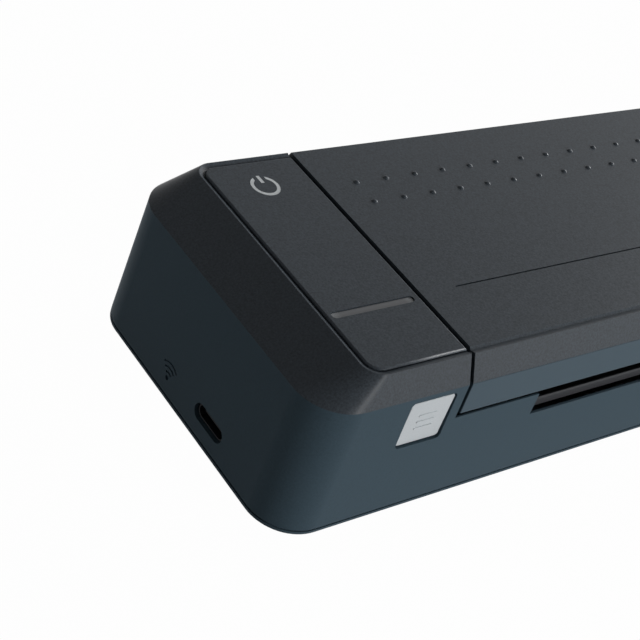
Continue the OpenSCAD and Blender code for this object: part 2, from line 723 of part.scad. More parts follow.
// Flat lead that lies on the tray between the motor and the main board
module motor_cable() placed() color("#D8D8D2")
    block([left_cap_l - wall - 3, motor_x[0]], cable_y, [tray_z, tray_z + flat_lead_t]);

module motor_shaft() placed() color(steel)
    rod_x([motor_x[1] - 7.5, gear_x[1] + 0.5], motor_yz, motor_shaft_r);

// Spur gear on the X axis through yz
module gear(teeth, yz, phase, bore_r) difference() {
    translate([0, yz[0], yz[1]]) run_x(gear_x) polygon(gear_outline(teeth, phase));
    rod_x([gear_x[0] - over, gear_x[1] + over], yz, bore_r);
}

module motor_pinion() placed() color("#D9D4C5")
    gear(pinion_teeth, motor_yz, pinion_phase, motor_shaft_r + skin);
module idler_gear() placed() color("#D9D4C5")
    gear(idler_teeth, idler_yz, idler_phase, idler_pin_r + shaft_fit);
module platen_gear() placed() color("#D9D4C5") gear(platen_teeth, platen_yz, line_a, shaft_r + skin);

module idler_shaft() placed() color(steel) {
    rod_x([frame_r_x - 0.8, gear_x[1] + 1.2], idler_yz, idler_pin_r);
    rod_x([gear_x[1] + 0.2, gear_x[1] + 0.8], idler_yz, idler_pin_r + 1);
    rod_x([frame_r_x + frame_t, gear_x[0] - 0.2], idler_yz, idler_pin_r + 1);
}

module platen_shaft() placed() color(steel) rod_x([frame_l_x - 3, gear_x[1] + 1.5], platen_yz, shaft_r);

module platen_roller() placed() color("#2B2B2B") difference() {
    rod_x(platen_x, platen_yz, platen_r);
    rod_x([0, body_l], platen_yz, shaft_r + skin);
}

// ---------------------------------------------------------------- lid
// Section of the painted cover's outside, from the front foot to the rear foot
function cover_outside() = [[0, belt_z], [long_bevel, top_z - 0.05], [groove_y, groove_z],
    [groove_y + crease, top_z], [body_w - long_bevel, top_z], [body_w, belt_z]];

module lid_cover() placed() color(graphite) difference() {
    union() {
        run_x([lid_x0, lid_x1]) polygon(concat(cover_outside(), [[body_w - 1.9, belt_z],
            [body_w - 3.9, cover_ceiling], [3.9, cover_ceiling], [1.9, belt_z]]));
        for (x = [lid_x0, lid_x1 - 1.5]) run_x([x, x + 1.5]) polygon(cover_outside());
        for (x = lid_screw_x, y = lid_screw_y) rod_z([belt_z, cover_ceiling + 0.5], [x, y], 2.5);
        dots();
    }
    for (x = lid_screw_x, y = lid_screw_y)
        rod_z([belt_z - over, cover_ceiling - 0.3], [x, y], screw_r + shaft_fit);
    block([lid_x0 + 8.85, lid_x1 - 8.85], [line_y - 0.18, line_y + 0.18], [top_z - 0.3, top_z + over]);
}

// Two rows of round raised dots, as many as the lid's length takes
module dots() {
    count = floor((lid_x1 - lid_x0 - 2 * dot_margin) / dot_pitch);
    first = (lid_x0 + lid_x1 - count * dot_pitch) / 2;
    ball_r = (dot_d * dot_d / 4 + dot_height * dot_height) / (2 * dot_height);
    for (i = [0:count], y = [body_w - 21, body_w - 14.5])
        translate([first + i * dot_pitch, y, top_z + dot_height - ball_r]) sphere(ball_r, $fn = 24);
}

module lid_frame() placed() color(slate) difference() {
    union() {
        run_x([lid_x0, lid_x1]) polygon([[0, belt_z], [-skirt_out, skirt_z], [skirt_t, skirt_z],
            [skirt_t, plate_z], [body_w - skirt_t, plate_z], [body_w - skirt_t, rear_skirt_z],
            [body_w, rear_skirt_z], [body_w, belt_z]]);
        for (x = [lid_x0, lid_x1 - 1.5])
            block([x, x + 1.5], [skirt_t - 0.5, body_w - skirt_t + 0.5], [end_wall_z, plate_z + 0.5]);
        for (x = [lid_x0, lid_x1 - knuckle_l]) {
            rod_x([x, x + knuckle_l], hinge_yz, knuckle_r);
            block([x, x + knuckle_l], span(hinge_yz[0], -knuckle_r, knuckle_r), [hinge_yz[1], plate_z + 0.5]);
        }
        lid_catch();
        // Post that presses the cover switch
        block([left_cap_l + 10.7, left_cap_l + 12.3], [9.4, 11], [skirt_z - 1.8, plate_z + 0.5]);
    }
    for (x = [lid_x0 - over, lid_x1 - knuckle_l + 1])
        rod_x([x, x + knuckle_l], hinge_yz, hinge_pin_r + shaft_fit);
    for (x = lid_screw_x, y = lid_screw_y) rod_z([0, top_z], [x, y], screw_r + 0.25);
}

// Prong with a nose, under the front left corner, that the latch holds
module lid_catch() run_x(hook_x) polygon([[catch_y[0], plate_z + 0.5], [catch_y[0], arm_z[1] - 0.5],
    [catch_y[1] + catch_nose - 0.4, arm_z[1] - 0.5], [catch_y[1] + catch_nose, arm_z[1]],
    [catch_y[1] + catch_nose, arm_z[1] + 0.5], [catch_y[1], arm_z[1] + 0.5], [catch_y[1], plate_z + 0.5]]);

module lid_screws() placed() color(steel) for (x = lid_screw_x, y = lid_screw_y) screw([x, y], plate_z, 3.8);

// Ceramic strip with its heating line above the platen's crown
module print_head() placed() color("#D6D0C4") {
    block(platen_x, head_y, [head_z, head_z + head_t]);
    block([platen_x[0] + 2, platen_x[1] - 2], span(platen_y, -0.6, 0.6), [head_z - 0.08, head_z + 0.5]);
}

module head_heat_sink() placed() color("#B9BCBF") {
    block(platen_x, head_y, [sink_z, sink_z + 1.4]);
    for (i = [0:4]) {
        y = head_y[0] + i * (head_y[1] - head_y[0] - 1.6) / 4;
        block(platen_x, [y, y + 1.6], [sink_z + 1, sink_top]);
    }
}

// Bowed leaf springs between the lid frame and the heat sink
module head_springs() placed() color(steel) {
    rise = plate_z - sink_top;
    half = 7;
    arc_r = (half * half + rise * rise) / (2 * rise);
    for (i = [0:spring_count - 1]) {
        x = platen_x[0] + (i + 0.5) * (platen_x[1] - platen_x[0]) / spring_count;
        run_y(span(platen_y, -2, 6)) translate([x, plate_z - arc_r]) intersection() {
            difference() {
                circle(arc_r, $fn = 96);
                circle(arc_r - 0.35, $fn = 96);
            }
            translate([-half, arc_r - rise]) square([2 * half, rise]);
        }
    }
}

module head_brackets() placed() color(steel)
    for (side = [0, 1]) {
        x = side == 0 ? platen_x[0] - bracket_t : platen_x[1];
        foot_x = side == 0 ? x - 4 : x;
        block([x, x + bracket_t], [head_y[0] + 1, head_y[1] - 1], [sink_z, plate_z]);
        block([foot_x, foot_x + bracket_t + 4], [head_y[0] + 4, head_y[1] - 4], [plate_z - 1, plate_z]);
    }

// Flat lead from the head along the underside of the lid frame towards the left hinge
module head_flex() placed() color("#D8D8D2") {
    x = lid_screw_x[0] + screw_head_r + flex_gap;
    fold_y = head_y[1] + 4;
    back_y = body_w - 8.6;
    block([x, x + flex_w], [head_y[1], fold_y], [sink_z - flat_lead_t, sink_z]);
    block([x, x + flex_w], [fold_y - flat_lead_t, fold_y], [sink_z - flat_lead_t, plate_z]);
    block([x, x + flex_w], [fold_y - flat_lead_t, back_y], [plate_z - flat_lead_t, plate_z]);
    block([lid_x0 + 2, x + flex_w], [back_y - flex_w / 2, back_y], [plate_z - flat_lead_t, plate_z]);
}

// ---------------------------------------------------------------- button and latch
module push_button() placed() color(silver) {
    run_y([button_sink, flange_y[0] + 0.2]) translate(button_mid) round_rect(button_w, button_h, button_r);
    block([button_x - 1, button_x + button_w + 0.5], flange_y, [button_z - 1, button_z + button_h + 0.4]);
    // Three raised grip bars
    for (i = [-1, 0, 1]) run_y([button_sink - 0.12, button_sink + 0.2])
        translate(button_mid + [0, i * 1.6]) round_rect(4.4, 0.5, 0.24);
}

module latch_slider() placed() color(black) {
    block([button_mid[0] - 3, button_mid[0] + 3], [flange_y[1], spring_y[0] - 0.1],
        [button_mid[1] - 3.2, button_mid[1] + 3.2]);
    block([button_mid[0] - 1, hook_x[1]], arm_y, arm_z);
    run_x(hook_x) polygon([[arm_y[0], arm_z[0]], [arm_y[1], arm_z[0]], [arm_y[1], arm_z[1] + 2.6],
        [arm_y[0], arm_z[1] + 2.6], [arm_y[0] - hook_reach, arm_z[1] + 1.6],
        [arm_y[0] - hook_reach, arm_z[1] + 0.9], [arm_y[0], arm_z[1] + 0.9]]);
}

// Coil spring along Y: one unbroken tube
module button_spring() placed() color(steel)
    translate([button_mid[0], spring_y[0] + spring_wire, button_mid[1]])
        coil(spring_r, spring_wire, spring_y[1] - spring_y[0] - 2 * spring_wire, spring_turns);

module coil(r, wire, length, turns, steps = 14, sides = 6) {
    rings = turns * steps;
    points = [for (i = [0:rings], k = [0:sides - 1])
        let (a = 360 * i / steps, t = 360 * k / sides, out = r + wire * cos(t))
        [out * cos(a), length * i / rings + wire * sin(t), out * sin(a)]];
    skin_faces = [for (i = [0:rings - 1], k = [0:sides - 1])
        let (a = i * sides + k, b = i * sides + (k + 1) % sides)
        each [[a, b, a + sides], [b, b + sides, a + sides]]];
    caps = [for (k = [1:sides - 2]) each [[0, k + 1, k],
        [rings * sides, rings * sides + k, rings * sides + k + 1]]];
    echo(coil_gap = length / turns - 2 * wire);
    polyhedron(points, concat(skin_faces, caps));
}

base_housing();
bottom_cover();
rubber_feet();
bottom_screws();
left_top_shell();
right_top_shell();
control_panel();
blank_panel();
power_symbol();
light_bar_window();
key_board();
status_leds();
power_switch();
main_board();
board_screws();
usb_c_receptacle();
battery_cells();
battery_cradle();
battery_leads();
chassis_tray();
left_side_frame();
right_side_frame();
platen_bushes();
paper_deck();
deck_screws();
paper_guide_bar();
paper_sensor();
cover_switch();
drive_motor();
motor_screws();
motor_cable();
idler_shaft();
hinge_pins();
button_spring();
platen_shaft();
platen_roller();
platen_gear();
idler_gear();
motor_shaft();
motor_pinion();
lid_cover();
lid_frame();
lid_screws();
print_head();
head_heat_sink();
head_springs();
head_brackets();
head_flex();
push_button();
latch_slider();
power_plunger();
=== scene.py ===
"""Looks of a portable page-width thermal printer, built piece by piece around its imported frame.

Metres, +Z up. The printer stands at the origin on its feet: -X is the end with the control panel,
-Y the front with the paper's mouth and the release button.
"""
import json
import math

import bmesh
import bpy
from mathutils import Matrix, Vector


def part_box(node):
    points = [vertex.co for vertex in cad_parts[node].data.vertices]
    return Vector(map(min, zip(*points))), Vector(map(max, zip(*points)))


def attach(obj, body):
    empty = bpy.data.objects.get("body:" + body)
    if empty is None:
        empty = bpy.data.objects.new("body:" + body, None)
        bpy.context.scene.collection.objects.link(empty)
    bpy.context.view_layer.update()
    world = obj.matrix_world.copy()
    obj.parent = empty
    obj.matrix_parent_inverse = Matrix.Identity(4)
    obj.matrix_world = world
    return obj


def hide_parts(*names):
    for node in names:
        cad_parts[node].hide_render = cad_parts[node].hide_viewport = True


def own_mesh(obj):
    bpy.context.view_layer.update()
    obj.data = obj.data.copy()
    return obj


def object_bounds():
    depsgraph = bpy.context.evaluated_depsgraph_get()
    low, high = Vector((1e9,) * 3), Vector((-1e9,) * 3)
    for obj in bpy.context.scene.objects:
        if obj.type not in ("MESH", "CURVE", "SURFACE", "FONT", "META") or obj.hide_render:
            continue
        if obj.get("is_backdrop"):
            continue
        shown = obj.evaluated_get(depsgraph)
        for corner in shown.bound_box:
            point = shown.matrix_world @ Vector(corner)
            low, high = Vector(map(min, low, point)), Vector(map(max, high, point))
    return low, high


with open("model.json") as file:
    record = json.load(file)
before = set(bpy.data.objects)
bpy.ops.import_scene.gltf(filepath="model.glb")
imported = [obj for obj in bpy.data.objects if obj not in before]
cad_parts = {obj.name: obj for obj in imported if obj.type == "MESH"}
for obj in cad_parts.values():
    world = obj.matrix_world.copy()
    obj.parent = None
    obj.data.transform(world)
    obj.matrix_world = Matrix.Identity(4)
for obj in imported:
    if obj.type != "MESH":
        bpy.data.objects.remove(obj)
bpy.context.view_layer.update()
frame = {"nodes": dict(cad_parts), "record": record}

# ---------------------------------------------------------------- point of view
# The camera stands where the photograph was taken from: beyond the left end and in front of it,
# looking down on the corner with the control panel. Place, turn and lens come from the vanishing
# points of the printer's straight edges.
photo_view = bpy.data.cameras.new("photo_view")
photo_view.lens = 82.51
photo_view.sensor_width = 36
camera = bpy.data.objects.new("photo_view", photo_view)
camera.location = (-0.297377, -0.155198, 0.191200)
camera.rotation_euler = [math.radians(turn) for turn in (51.4004, -16.8406, -34.6948)]
bpy.context.scene.collection.objects.link(camera)
bpy.context.scene.camera = camera

# ---------------------------------------------------------------- housing
# The lower shell of the printer: slate ABS, injection moulded in one piece, with a fine
# spark-eroded texture on the outside. The paper's mouth, the button's window, the opening for
# the charging plug and a small wireless sign are cut through or into its walls.

# The walls lean in from the seam at the foot to the belt line under the caps, by end_lean and
# side_lean. sign_place is the middle of the wireless sign, as (Y, Z).
MM = 0.001
low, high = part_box("base_housing")
seam = low.z
right, foot_back, belt = high
corner_radius = 9.5 * MM
end_lean, side_lean = 1.2 * MM, 0.8 * MM
skin_depth = 0.05 * MM
sign_place = (6.15 * MM, 5.7 * MM)
sign_reach = 4.6 * MM

rides_on = {
    node: body
    for body, nodes in frame["record"]["behaviour"]["bodies"].items()
    for node in nodes
}


def linear(shade):
    """An sRGB hex colour as the linear values that a shader takes."""
    parts = [int(shade[i:i + 2], 16) / 255 for i in (1, 3, 5)]
    return [*(p / 12.92 if p <= 0.04045 else ((p + 0.055) / 1.055) ** 2.4 for p in parts), 1.0]


def add(tree, kind, settings=None, inputs=None):
    """Adds a node with its settings; an input is a constant, or another node's output to link."""
    made = tree.nodes.new(kind)
    for name, value in (settings or {}).items():
        setattr(made, name, value)
    for name, value in (inputs or {}).items():
        if isinstance(value, bpy.types.NodeSocket):
            tree.links.new(value, made.inputs[name])
        else:
            made.inputs[name].default_value = value
    return made


def start_finish(name):
    """An empty material and its node tree."""
    finish = bpy.data.materials.new(name)
    finish.use_nodes = True
    finish.node_tree.nodes.clear()
    return finish, finish.node_tree


def spread(tree, noise, low=0.0, high=1.0):
    """A noise texture's values, nearly all between 0.3 and 0.7, drawn out to low and high."""
    return add(tree, "ShaderNodeMapRange", None, {
        "Value": noise, "From Min": 0.3, "From Max": 0.7,
        "To Min": low, "To Max": high}).outputs["Result"]


def mixed(tree, share, first, second):
    """The colour that lies at share, 0 to 1, between first and second."""
    return add(tree, "ShaderNodeMix", {"data_type": "RGBA"}, {
        0: share, 6: first, 7: second}).outputs[2]


def times(factor, colour):
    """A colour made darker or lighter by a factor."""
    return [*(part * factor for part in colour[:3]), 1.0]


def cover_with(tree, inputs):
    """Ends a material's tree with one surface that has these inputs."""
    skin = add(tree, "ShaderNodeBsdfPrincipled", None, inputs).outputs["BSDF"]
    add(tree, "ShaderNodeOutputMaterial", None, {"Surface": skin})


def grained(name, shade, grain, contrast, roughness, relief, gloss):
    """A moulded, sprayed or ground skin: one shade broken up by cells of grain millimetres.

    contrast is how far the cells differ in lightness, relief their height in millimetres, and
    gloss the specular level.
    """
    unevenness = 0.05
    finish, tree = start_finish(name)
    place = add(tree, "ShaderNodeTexCoord").outputs["Object"]
    cells = add(tree, "ShaderNodeTexNoise", None, {
        "Vector": place, "Scale": 1 / (grain * MM), "Detail": 3.0, "Roughness": 0.65}).outputs["Fac"]
    middle = linear(shade)
    tone = mixed(
        tree, spread(tree, cells), times(1 - contrast, middle), times(1 + contrast, middle))
    dull = spread(tree, cells, roughness - unevenness, roughness + unevenness)
    tilt = add(tree, "ShaderNodeBump", None, {
        "Height": cells, "Distance": relief * MM, "Strength": 1.0}).outputs["Normal"]
    cover_with(tree, {
        "Base Color": tone, "Roughness": dull, "Normal": tilt, "IOR": 1.5,
        "Specular IOR Level": gloss})
    return finish


def soften(piece, radius, softened=lambda edge: 1.0, sharp_from=25):
    """Rounds a piece's sharp edges by radius millimetres, as a mould or a press leaves them.

    softened gives each edge its share of the radius, and 0 leaves it sharp. Corners that lie
    closer than merge_within become one, and faces within flat_within of a plane are joined first.
    Large faces set the shading next to a rounded edge, so that they stay flat.
    """
    merge_within, flat_within = 0.004 * MM, math.radians(0.5)
    arc_steps, large_faces_first = 3, 100
    work = bmesh.new()
    work.from_mesh(piece.data)
    bmesh.ops.remove_doubles(work, verts=work.verts, dist=merge_within)
    bmesh.ops.dissolve_limit(
        work, angle_limit=flat_within, verts=work.verts, edges=work.edges)
    share = work.edges.layers.float.new("bevel_weight_edge")
    for edge in work.edges:
        if edge.is_manifold and edge.calc_face_angle(0) > math.radians(sharp_from):
            edge[share] = softened(edge)
    for face in work.faces:
        face.smooth = True
    work.to_mesh(piece.data)
    work.free()
    for leftover in ("custom_normal", "sharp_edge", "sharp_face"):
        if leftover in piece.data.attributes:
            piece.data.attributes.remove(piece.data.attributes[leftover])
    piece.data.set_sharp_from_angle(angle=math.radians(sharp_from))
    rounding = piece.modifiers.new("rounded_edges", "BEVEL")
    rounding.width = radius * MM
    rounding.segments = arc_steps
    rounding.limit_method = "WEIGHT"
    rounding.harden_normals = True
    flat_faces = piece.modifiers.new("flat_faces", "WEIGHTED_NORMAL")
    flat_faces.keep_sharp = True
    flat_faces.weight = large_faces_first
    return piece


def moulded_copy(node, name, radius, softened=lambda edge: 1.0, sharp_from=25):
    """A new piece in the shape of a CAD node, with its edges softened."""
    piece = bpy.data.objects.new(name, frame["nodes"][node].data.copy())
    bpy.context.scene.collection.objects.link(piece)
    return soften(piece, radius, softened, sharp_from)


def put_in_place(piece, finish, slot, *nodes):
    """Gives a piece its finish, and lets it stand for CAD nodes and move with their body."""
    piece.data.materials.clear()
    piece.data.materials.append(finish)
    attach(piece, rides_on[nodes[0]])
    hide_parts(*nodes)
    return piece


def middle_of(edge):
    """The point halfway along an edge."""
    return (edge.verts[0].co + edge.verts[1].co) / 2


def on_outside(edge):
    """1 for an edge that lies on the housing's outside, apart from the fine engraved sign."""
    x, y, z = middle_of(edge)
    if x < 0 and math.dist((y, z), sign_place) < sign_reach:
        return 0
    up = max(0, z - seam) / (belt - seam)
    along = abs(x) - right + end_lean * up + corner_radius
    across = abs(y) - foot_back + side_lean * up + corner_radius
    beyond = math.hypot(max(along, 0), max(across, 0)) + min(max(along, across), 0)
    return 1 if beyond > corner_radius - skin_depth else 0


# Moulded ABS: matte, a little blue, with a texture just fine enough to feel.
slate_abs = grained("slate_abs_spark_eroded", "#40505A", 0.45, 0.08, 0.55, 0.012, 0.05)
put_in_place(
    moulded_copy("base_housing", "housing", 0.2, on_outside),
    slate_abs, "housing_slate", "base_housing")

# ---------------------------------------------------------------- bottom cover
# A shallow tray of the same slate ABS that closes the housing from below. Its rim is stepped, so
# a fine groove runs round the printer where the two meet.
put_in_place(
    moulded_copy("bottom_cover", "bottom_cover_moulding", 0.25, on_outside),
    slate_abs, "housing_slate", "bottom_cover")

# ---------------------------------------------------------------- feet
# Four round pads of black nitrile rubber, pressed into shallow seats of the bottom cover. Each
# is a turned disc with a softened rim and a shallow dish in the face it stands on.
def link_mesh(name, work):
    """A piece made of a bmesh, which is freed."""
    data = bpy.data.meshes.new(name)
    work.to_mesh(data)
    work.free()
    piece = bpy.data.objects.new(name, data)
    bpy.context.scene.collection.objects.link(piece)
    return piece


def turned(name, outline, steps=48):
    """A solid turned about Z; outline is (radius, height) in millimetres, from axis to axis."""
    sharp_from = 35
    work = bmesh.new()
    rings = []
    for radius, height in outline:
        count = steps if radius else 1
        rings.append([work.verts.new((
            radius * MM * math.cos(2 * math.pi * i / count),
            radius * MM * math.sin(2 * math.pi * i / count),
            height * MM)) for i in range(count)])
    for ring, above in zip(rings, rings[1:]):
        for i in range(steps):
            corners = [ring[i % len(ring)], ring[(i + 1) % len(ring)],
                       above[(i + 1) % len(above)], above[i % len(above)]]
            work.faces.new(list(dict.fromkeys(corners)))
    bmesh.ops.recalc_face_normals(work, faces=work.faces)
    for face in work.faces:
        face.smooth = True
    piece = link_mesh(name, work)
    piece.data.set_sharp_from_angle(angle=math.radians(sharp_from))
    return piece


def separate_solids(node):
    """The lowest and highest corner of each separate solid in a CAD node."""
    merge_within = 0.001 * MM
    work = bmesh.new()
    work.from_mesh(frame["nodes"][node].data)
    bmesh.ops.remove_doubles(work, verts=work.verts, dist=merge_within)
    waiting = set(work.verts)
    boxes = []
    while waiting:
        reached = [waiting.pop()]
        for vert in reached:
            for edge in vert.link_edges:
                other = edge.other_vert(vert)
                if other in waiting:
                    waiting.discard(other)
                    reached.append(other)
        places = [vert.co for vert in reached]
        boxes.append((
            Vector([min(p[i] for p in places) for i in range(3)]),
            Vector([max(p[i] for p in places) for i in range(3)])))
    work.free()
    return sorted(boxes, key=lambda box: tuple(box[0]))


def start_geometry(name, inputs):
    """A Geometry Nodes tree with named inputs, and its group input and output nodes."""
    tree = bpy.data.node_groups.new(name, "GeometryNodeTree")
    tree.interface.new_socket("Geometry", in_out="INPUT", socket_type="NodeSocketGeometry")
    tree.interface.new_socket("Geometry", in_out="OUTPUT", socket_type="NodeSocketGeometry")
    for label, kind in inputs.items():
        tree.interface.new_socket(label, in_out="INPUT", socket_type=kind)
    return tree, add(tree, "NodeGroupInput").outputs, add(tree, "NodeGroupOutput").inputs


def made_by(piece, tree, sizes):
    """Turns a piece into the plain mesh that a Geometry Nodes tree makes of it."""
    modifier = piece.modifiers.new(tree.name, "NODES")
    modifier.node_group = tree
    for socket in tree.interface.items_tree:
        if socket.in_out == "INPUT" and socket.name in sizes:
            modifier[socket.identifier] = sizes[socket.name]
    bpy.context.view_layer.update()
    finished = piece.evaluated_get(bpy.context.evaluated_depsgraph_get())
    data = bpy.data.meshes.new_from_object(finished)
    piece.modifiers.clear()
    piece.data = data
    return piece


copies, given, result = start_geometry("copies_at_places", {
    "Item": "NodeSocketObject", "Finish": "NodeSocketMaterial"})
item = add(copies, "GeometryNodeObjectInfo", None, {"Object": given["Item"]})
placed = add(copies, "GeometryNodeInstanceOnPoints", None, {
    "Points": given["Geometry"], "Instance": item.outputs["Geometry"]})
solid = add(copies, "GeometryNodeRealizeInstances", None, {
    "Geometry": placed.outputs["Instances"]})
coated = add(copies, "GeometryNodeSetMaterial", None, {
    "Geometry": solid.outputs["Geometry"], "Material": given["Finish"]})
copies.links.new(coated.outputs["Geometry"], result["Geometry"])


def repeated(name, item, places, finish):
    """One piece made of copies of item, one at each place."""
    points = bpy.data.meshes.new(name)
    points.from_pydata([tuple(place) for place in places], [], [])
    piece = bpy.data.objects.new(name, points)
    bpy.context.scene.collection.objects.link(piece)
    return made_by(piece, copies, {"Item": item, "Finish": finish})


def under(boxes):
    """The middle of each box's lowest face."""
    return [Vector(((a.x + b.x) / 2, (a.y + b.y) / 2, a.z)) for a, b in boxes]


# Nitrile rubber: dead matte, nearly black, slightly pitted from its mould.
foot_rubber = grained("nitrile_rubber_moulded", "#1B1B1C", 0.3, 0.15, 0.85, 0.02, 0.2)
foot = turned("foot", [
    (0, 0.25), (3.6, 0.2), (3.9, 0), (4.4, 0), (4.75, 0.15), (4.95, 0.5), (5, 0.7), (5, 1.6),
    (0, 1.6)])
put_in_place(
    repeated("foot_pads", foot, under(separate_solids("rubber_feet")), foot_rubber),
    foot_rubber, "foot_rubber", "rubber_feet")
bpy.data.objects.remove(foot)

# ---------------------------------------------------------------- housing screws
# Six cross-head screws of zinc-plated steel in deep seats of the bottom cover. Each is cold
# headed with a low domed pan head, a cross recess and a rolled shank.
def brushed_metal(name, shade, grain, stretch, roughness):
    """Bare or plated metal: fine scratches of grain millimetres, drawn out by stretch (X, Y, Z)."""
    unevenness, scratch_depth = 0.1, 0.003 * MM
    finish, tree = start_finish(name)
    place = add(tree, "ShaderNodeTexCoord").outputs["Object"]
    drawn = add(tree, "ShaderNodeMapping", None, {
        "Vector": place, "Scale": [1 / (grain * MM * s) for s in stretch]}).outputs["Vector"]
    lines = add(tree, "ShaderNodeTexNoise", None, {
        "Vector": drawn, "Scale": 1.0, "Detail": 2.0, "Roughness": 0.6}).outputs["Fac"]
    dull = spread(tree, lines, roughness - unevenness, roughness + unevenness)
    tone = mixed(tree, lines, times(0.85, linear(shade)), times(1.1, linear(shade)))
    tilt = add(tree, "ShaderNodeBump", None, {
        "Height": lines, "Distance": scratch_depth, "Strength": 1.0}).outputs["Normal"]
    cover_with(tree, {"Base Color": tone, "Roughness": dull, "Normal": tilt, "Metallic": 1.0})
    return finish


def cut(piece, *cutters):
    """Takes the cutters out of a piece and removes them."""
    for cutter in cutters:
        taking = piece.modifiers.new("cut", "BOOLEAN")
        taking.object = cutter
        taking.solver = "EXACT"
    bpy.context.view_layer.update()
    finished = piece.evaluated_get(bpy.context.evaluated_depsgraph_get())
    data = bpy.data.meshes.new_from_object(finished)
    piece.modifiers.clear()
    piece.data = data
    for cutter in cutters:
        bpy.data.objects.remove(cutter)
    return piece


def block(name, corner_a, corner_b):
    """A box between two corners, in metres."""
    work = bmesh.new()
    made = bmesh.ops.create_cube(work, size=1.0)["verts"]
    size = Vector(corner_b) - Vector(corner_a)
    bmesh.ops.scale(work, vec=size, verts=made)
    bmesh.ops.translate(work, vec=(Vector(corner_a) + Vector(corner_b)) / 2, verts=made)
    return link_mesh(name, work)


# Zinc plate on steel: bright, slightly grey, with faint tool marks.
zinc_plate = brushed_metal("zinc_plated_steel", "#B9BBBD", 0.15, (1, 1, 1), 0.35)


def cross_head_screw(name, shank):
    """A screw with its head downwards at Z 0 to 1 and a shank of that many millimetres above it."""
    screw = turned(name, [
        (0, 0), (1.5, 0.04), (1.95, 0.2), (2.18, 0.55), (2.2, 0.95), (2.15, 1.0), (1.05, 1.0),
        (1.05, 1 + shank - 0.4), (0.7, 1 + shank), (0, 1 + shank)], steps=32)
    arm, width, depth = 1.2 * MM, 0.27 * MM, 0.6 * MM
    return cut(
        screw,
        block("slot_a", (-arm, -width, -depth), (arm, width, depth)),
        block("slot_b", (-width, -arm, -depth), (width, arm, depth)))


housing_screw = cross_head_screw("housing_screw", 10)
put_in_place(
    repeated("housing_screws", housing_screw, under(separate_solids("bottom_screws")), zinc_plate),
    zinc_plate, "steel", "bottom_screws")
bpy.data.objects.remove(housing_screw)

# ---------------------------------------------------------------- top shells
# Two caps close the ends of the printer. Both are ABS mouldings, sprayed with a satin graphite
# paint that holds a fine metallic flake, and clip inside the housing's walls. A groove runs
# round the seat of each panel.

# Graphite paint: satin, neutral to slightly warm; its flake shows as a fine mottled grain.
graphite_paint = grained("graphite_flake_paint", "#3E444A", 0.4, 0.35, 0.36, 0.015, 0.1)
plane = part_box("left_top_shell")[1].z
rim_height, foot_height = 0.15 * MM, 0.2 * MM


def at_rim(edge):
    """Half the radius at the rim of the seat, none in its groove, and 0.6 at the cap's foot."""
    z = middle_of(edge).z
    if z > plane - rim_height:
        return 0.5
    return 0 if z > belt + foot_height else 0.6


for cap in ("left_top_shell", "right_top_shell"):
    put_in_place(
        moulded_copy(cap, cap + "_moulding", 0.3, at_rim, 15),
        graphite_paint, "top_graphite", cap)

# ---------------------------------------------------------------- control and blank panel
# A flat panel is glued into each cap's seat: the left one carries the power sign and the light
# bar, the right one is plain. Both are sprayed with the same paint as the caps.
rim_width, face_depth = 0.95 * MM, 0.02 * MM
for panel in ("control_panel", "blank_panel"):
    panel_low, panel_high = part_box(panel)

    def at_panel_rim(edge, low=panel_low, high=panel_high):
        """1 for the edges round the panel's face, none at the sign's and the light bar's cuts."""
        x, y, z = middle_of(edge)
        inside = min(x - low.x, high.x - x, y - low.y, high.y - y)
        return 1 if inside < rim_width and z > high.z - face_depth else 0

    put_in_place(
        moulded_copy(panel, panel + "_moulding", 0.4, at_panel_rim),
        graphite_paint, "top_graphite", panel)

# ---------------------------------------------------------------- power sign
# An open ring with a bar in its gap, printed in pale grey into a shallow recess of the panel.
# The ink fills the recess almost to the panel's face.

# Screen ink: even, pale, slightly chalky.
sign_ink = grained("pale_screen_ink", "#DCE1E3", 0.2, 0.05, 0.6, 0.004, 0.3)
put_in_place(
    moulded_copy("power_symbol", "power_sign", 0.02), sign_ink, "sign_ink", "power_symbol")

# ---------------------------------------------------------------- light bar
# A narrow window of smoked polycarbonate in the panel, over five indicator lights. Its ends are
# coloured paler as painted light, standing for the rim of the slot that lights them from the side.
bar_low, bar_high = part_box("light_bar_window")
half_bar = (bar_high.x - bar_low.x) / 2
end_light_from, end_light_to = half_bar - 2.2 * MM, half_bar - 0.4 * MM

# Smoked polycarbonate: dark grey, with a soft shine; the paler colour towards both ends is painted
# light.
smoked_window_with_painted_light, tree = start_finish("smoked_polycarbonate_painted_end_light")
place = add(tree, "ShaderNodeTexCoord").outputs["Object"]
along = add(tree, "ShaderNodeSeparateXYZ", None, {"Vector": place}).outputs["X"]
from_middle = add(tree, "ShaderNodeMath", {"operation": "SUBTRACT"}, {
    0: along, 1: (bar_low.x + bar_high.x) / 2}).outputs[0]
reach = add(tree, "ShaderNodeMath", {"operation": "ABSOLUTE"}, {0: from_middle}).outputs[0]
# Painted light: towards both ends the colour turns paler, standing for light from the slot's rim.
painted_end_light = add(tree, "ShaderNodeMapRange", None, {
    "Value": reach, "From Min": end_light_from, "From Max": end_light_to}).outputs["Result"]
cover_with(tree, {
    "Base Color": mixed(tree, painted_end_light, linear("#56585B"), linear("#7C8083")),
    "Roughness": 0.3, "IOR": 1.58, "Specular IOR Level": 0.3})
put_in_place(
    moulded_copy("light_bar_window", "light_bar", 0.1),
    smoked_window_with_painted_light, "light_window", "light_bar_window")

# ---------------------------------------------------------------- lid cover
# The long painted cover of the hinged lid: one ABS moulding, whose section runs unchanged from
# end to end, with two rows of round raised dots and one fine line sunk into its top. Six screws
# from below hold it on the lid frame.

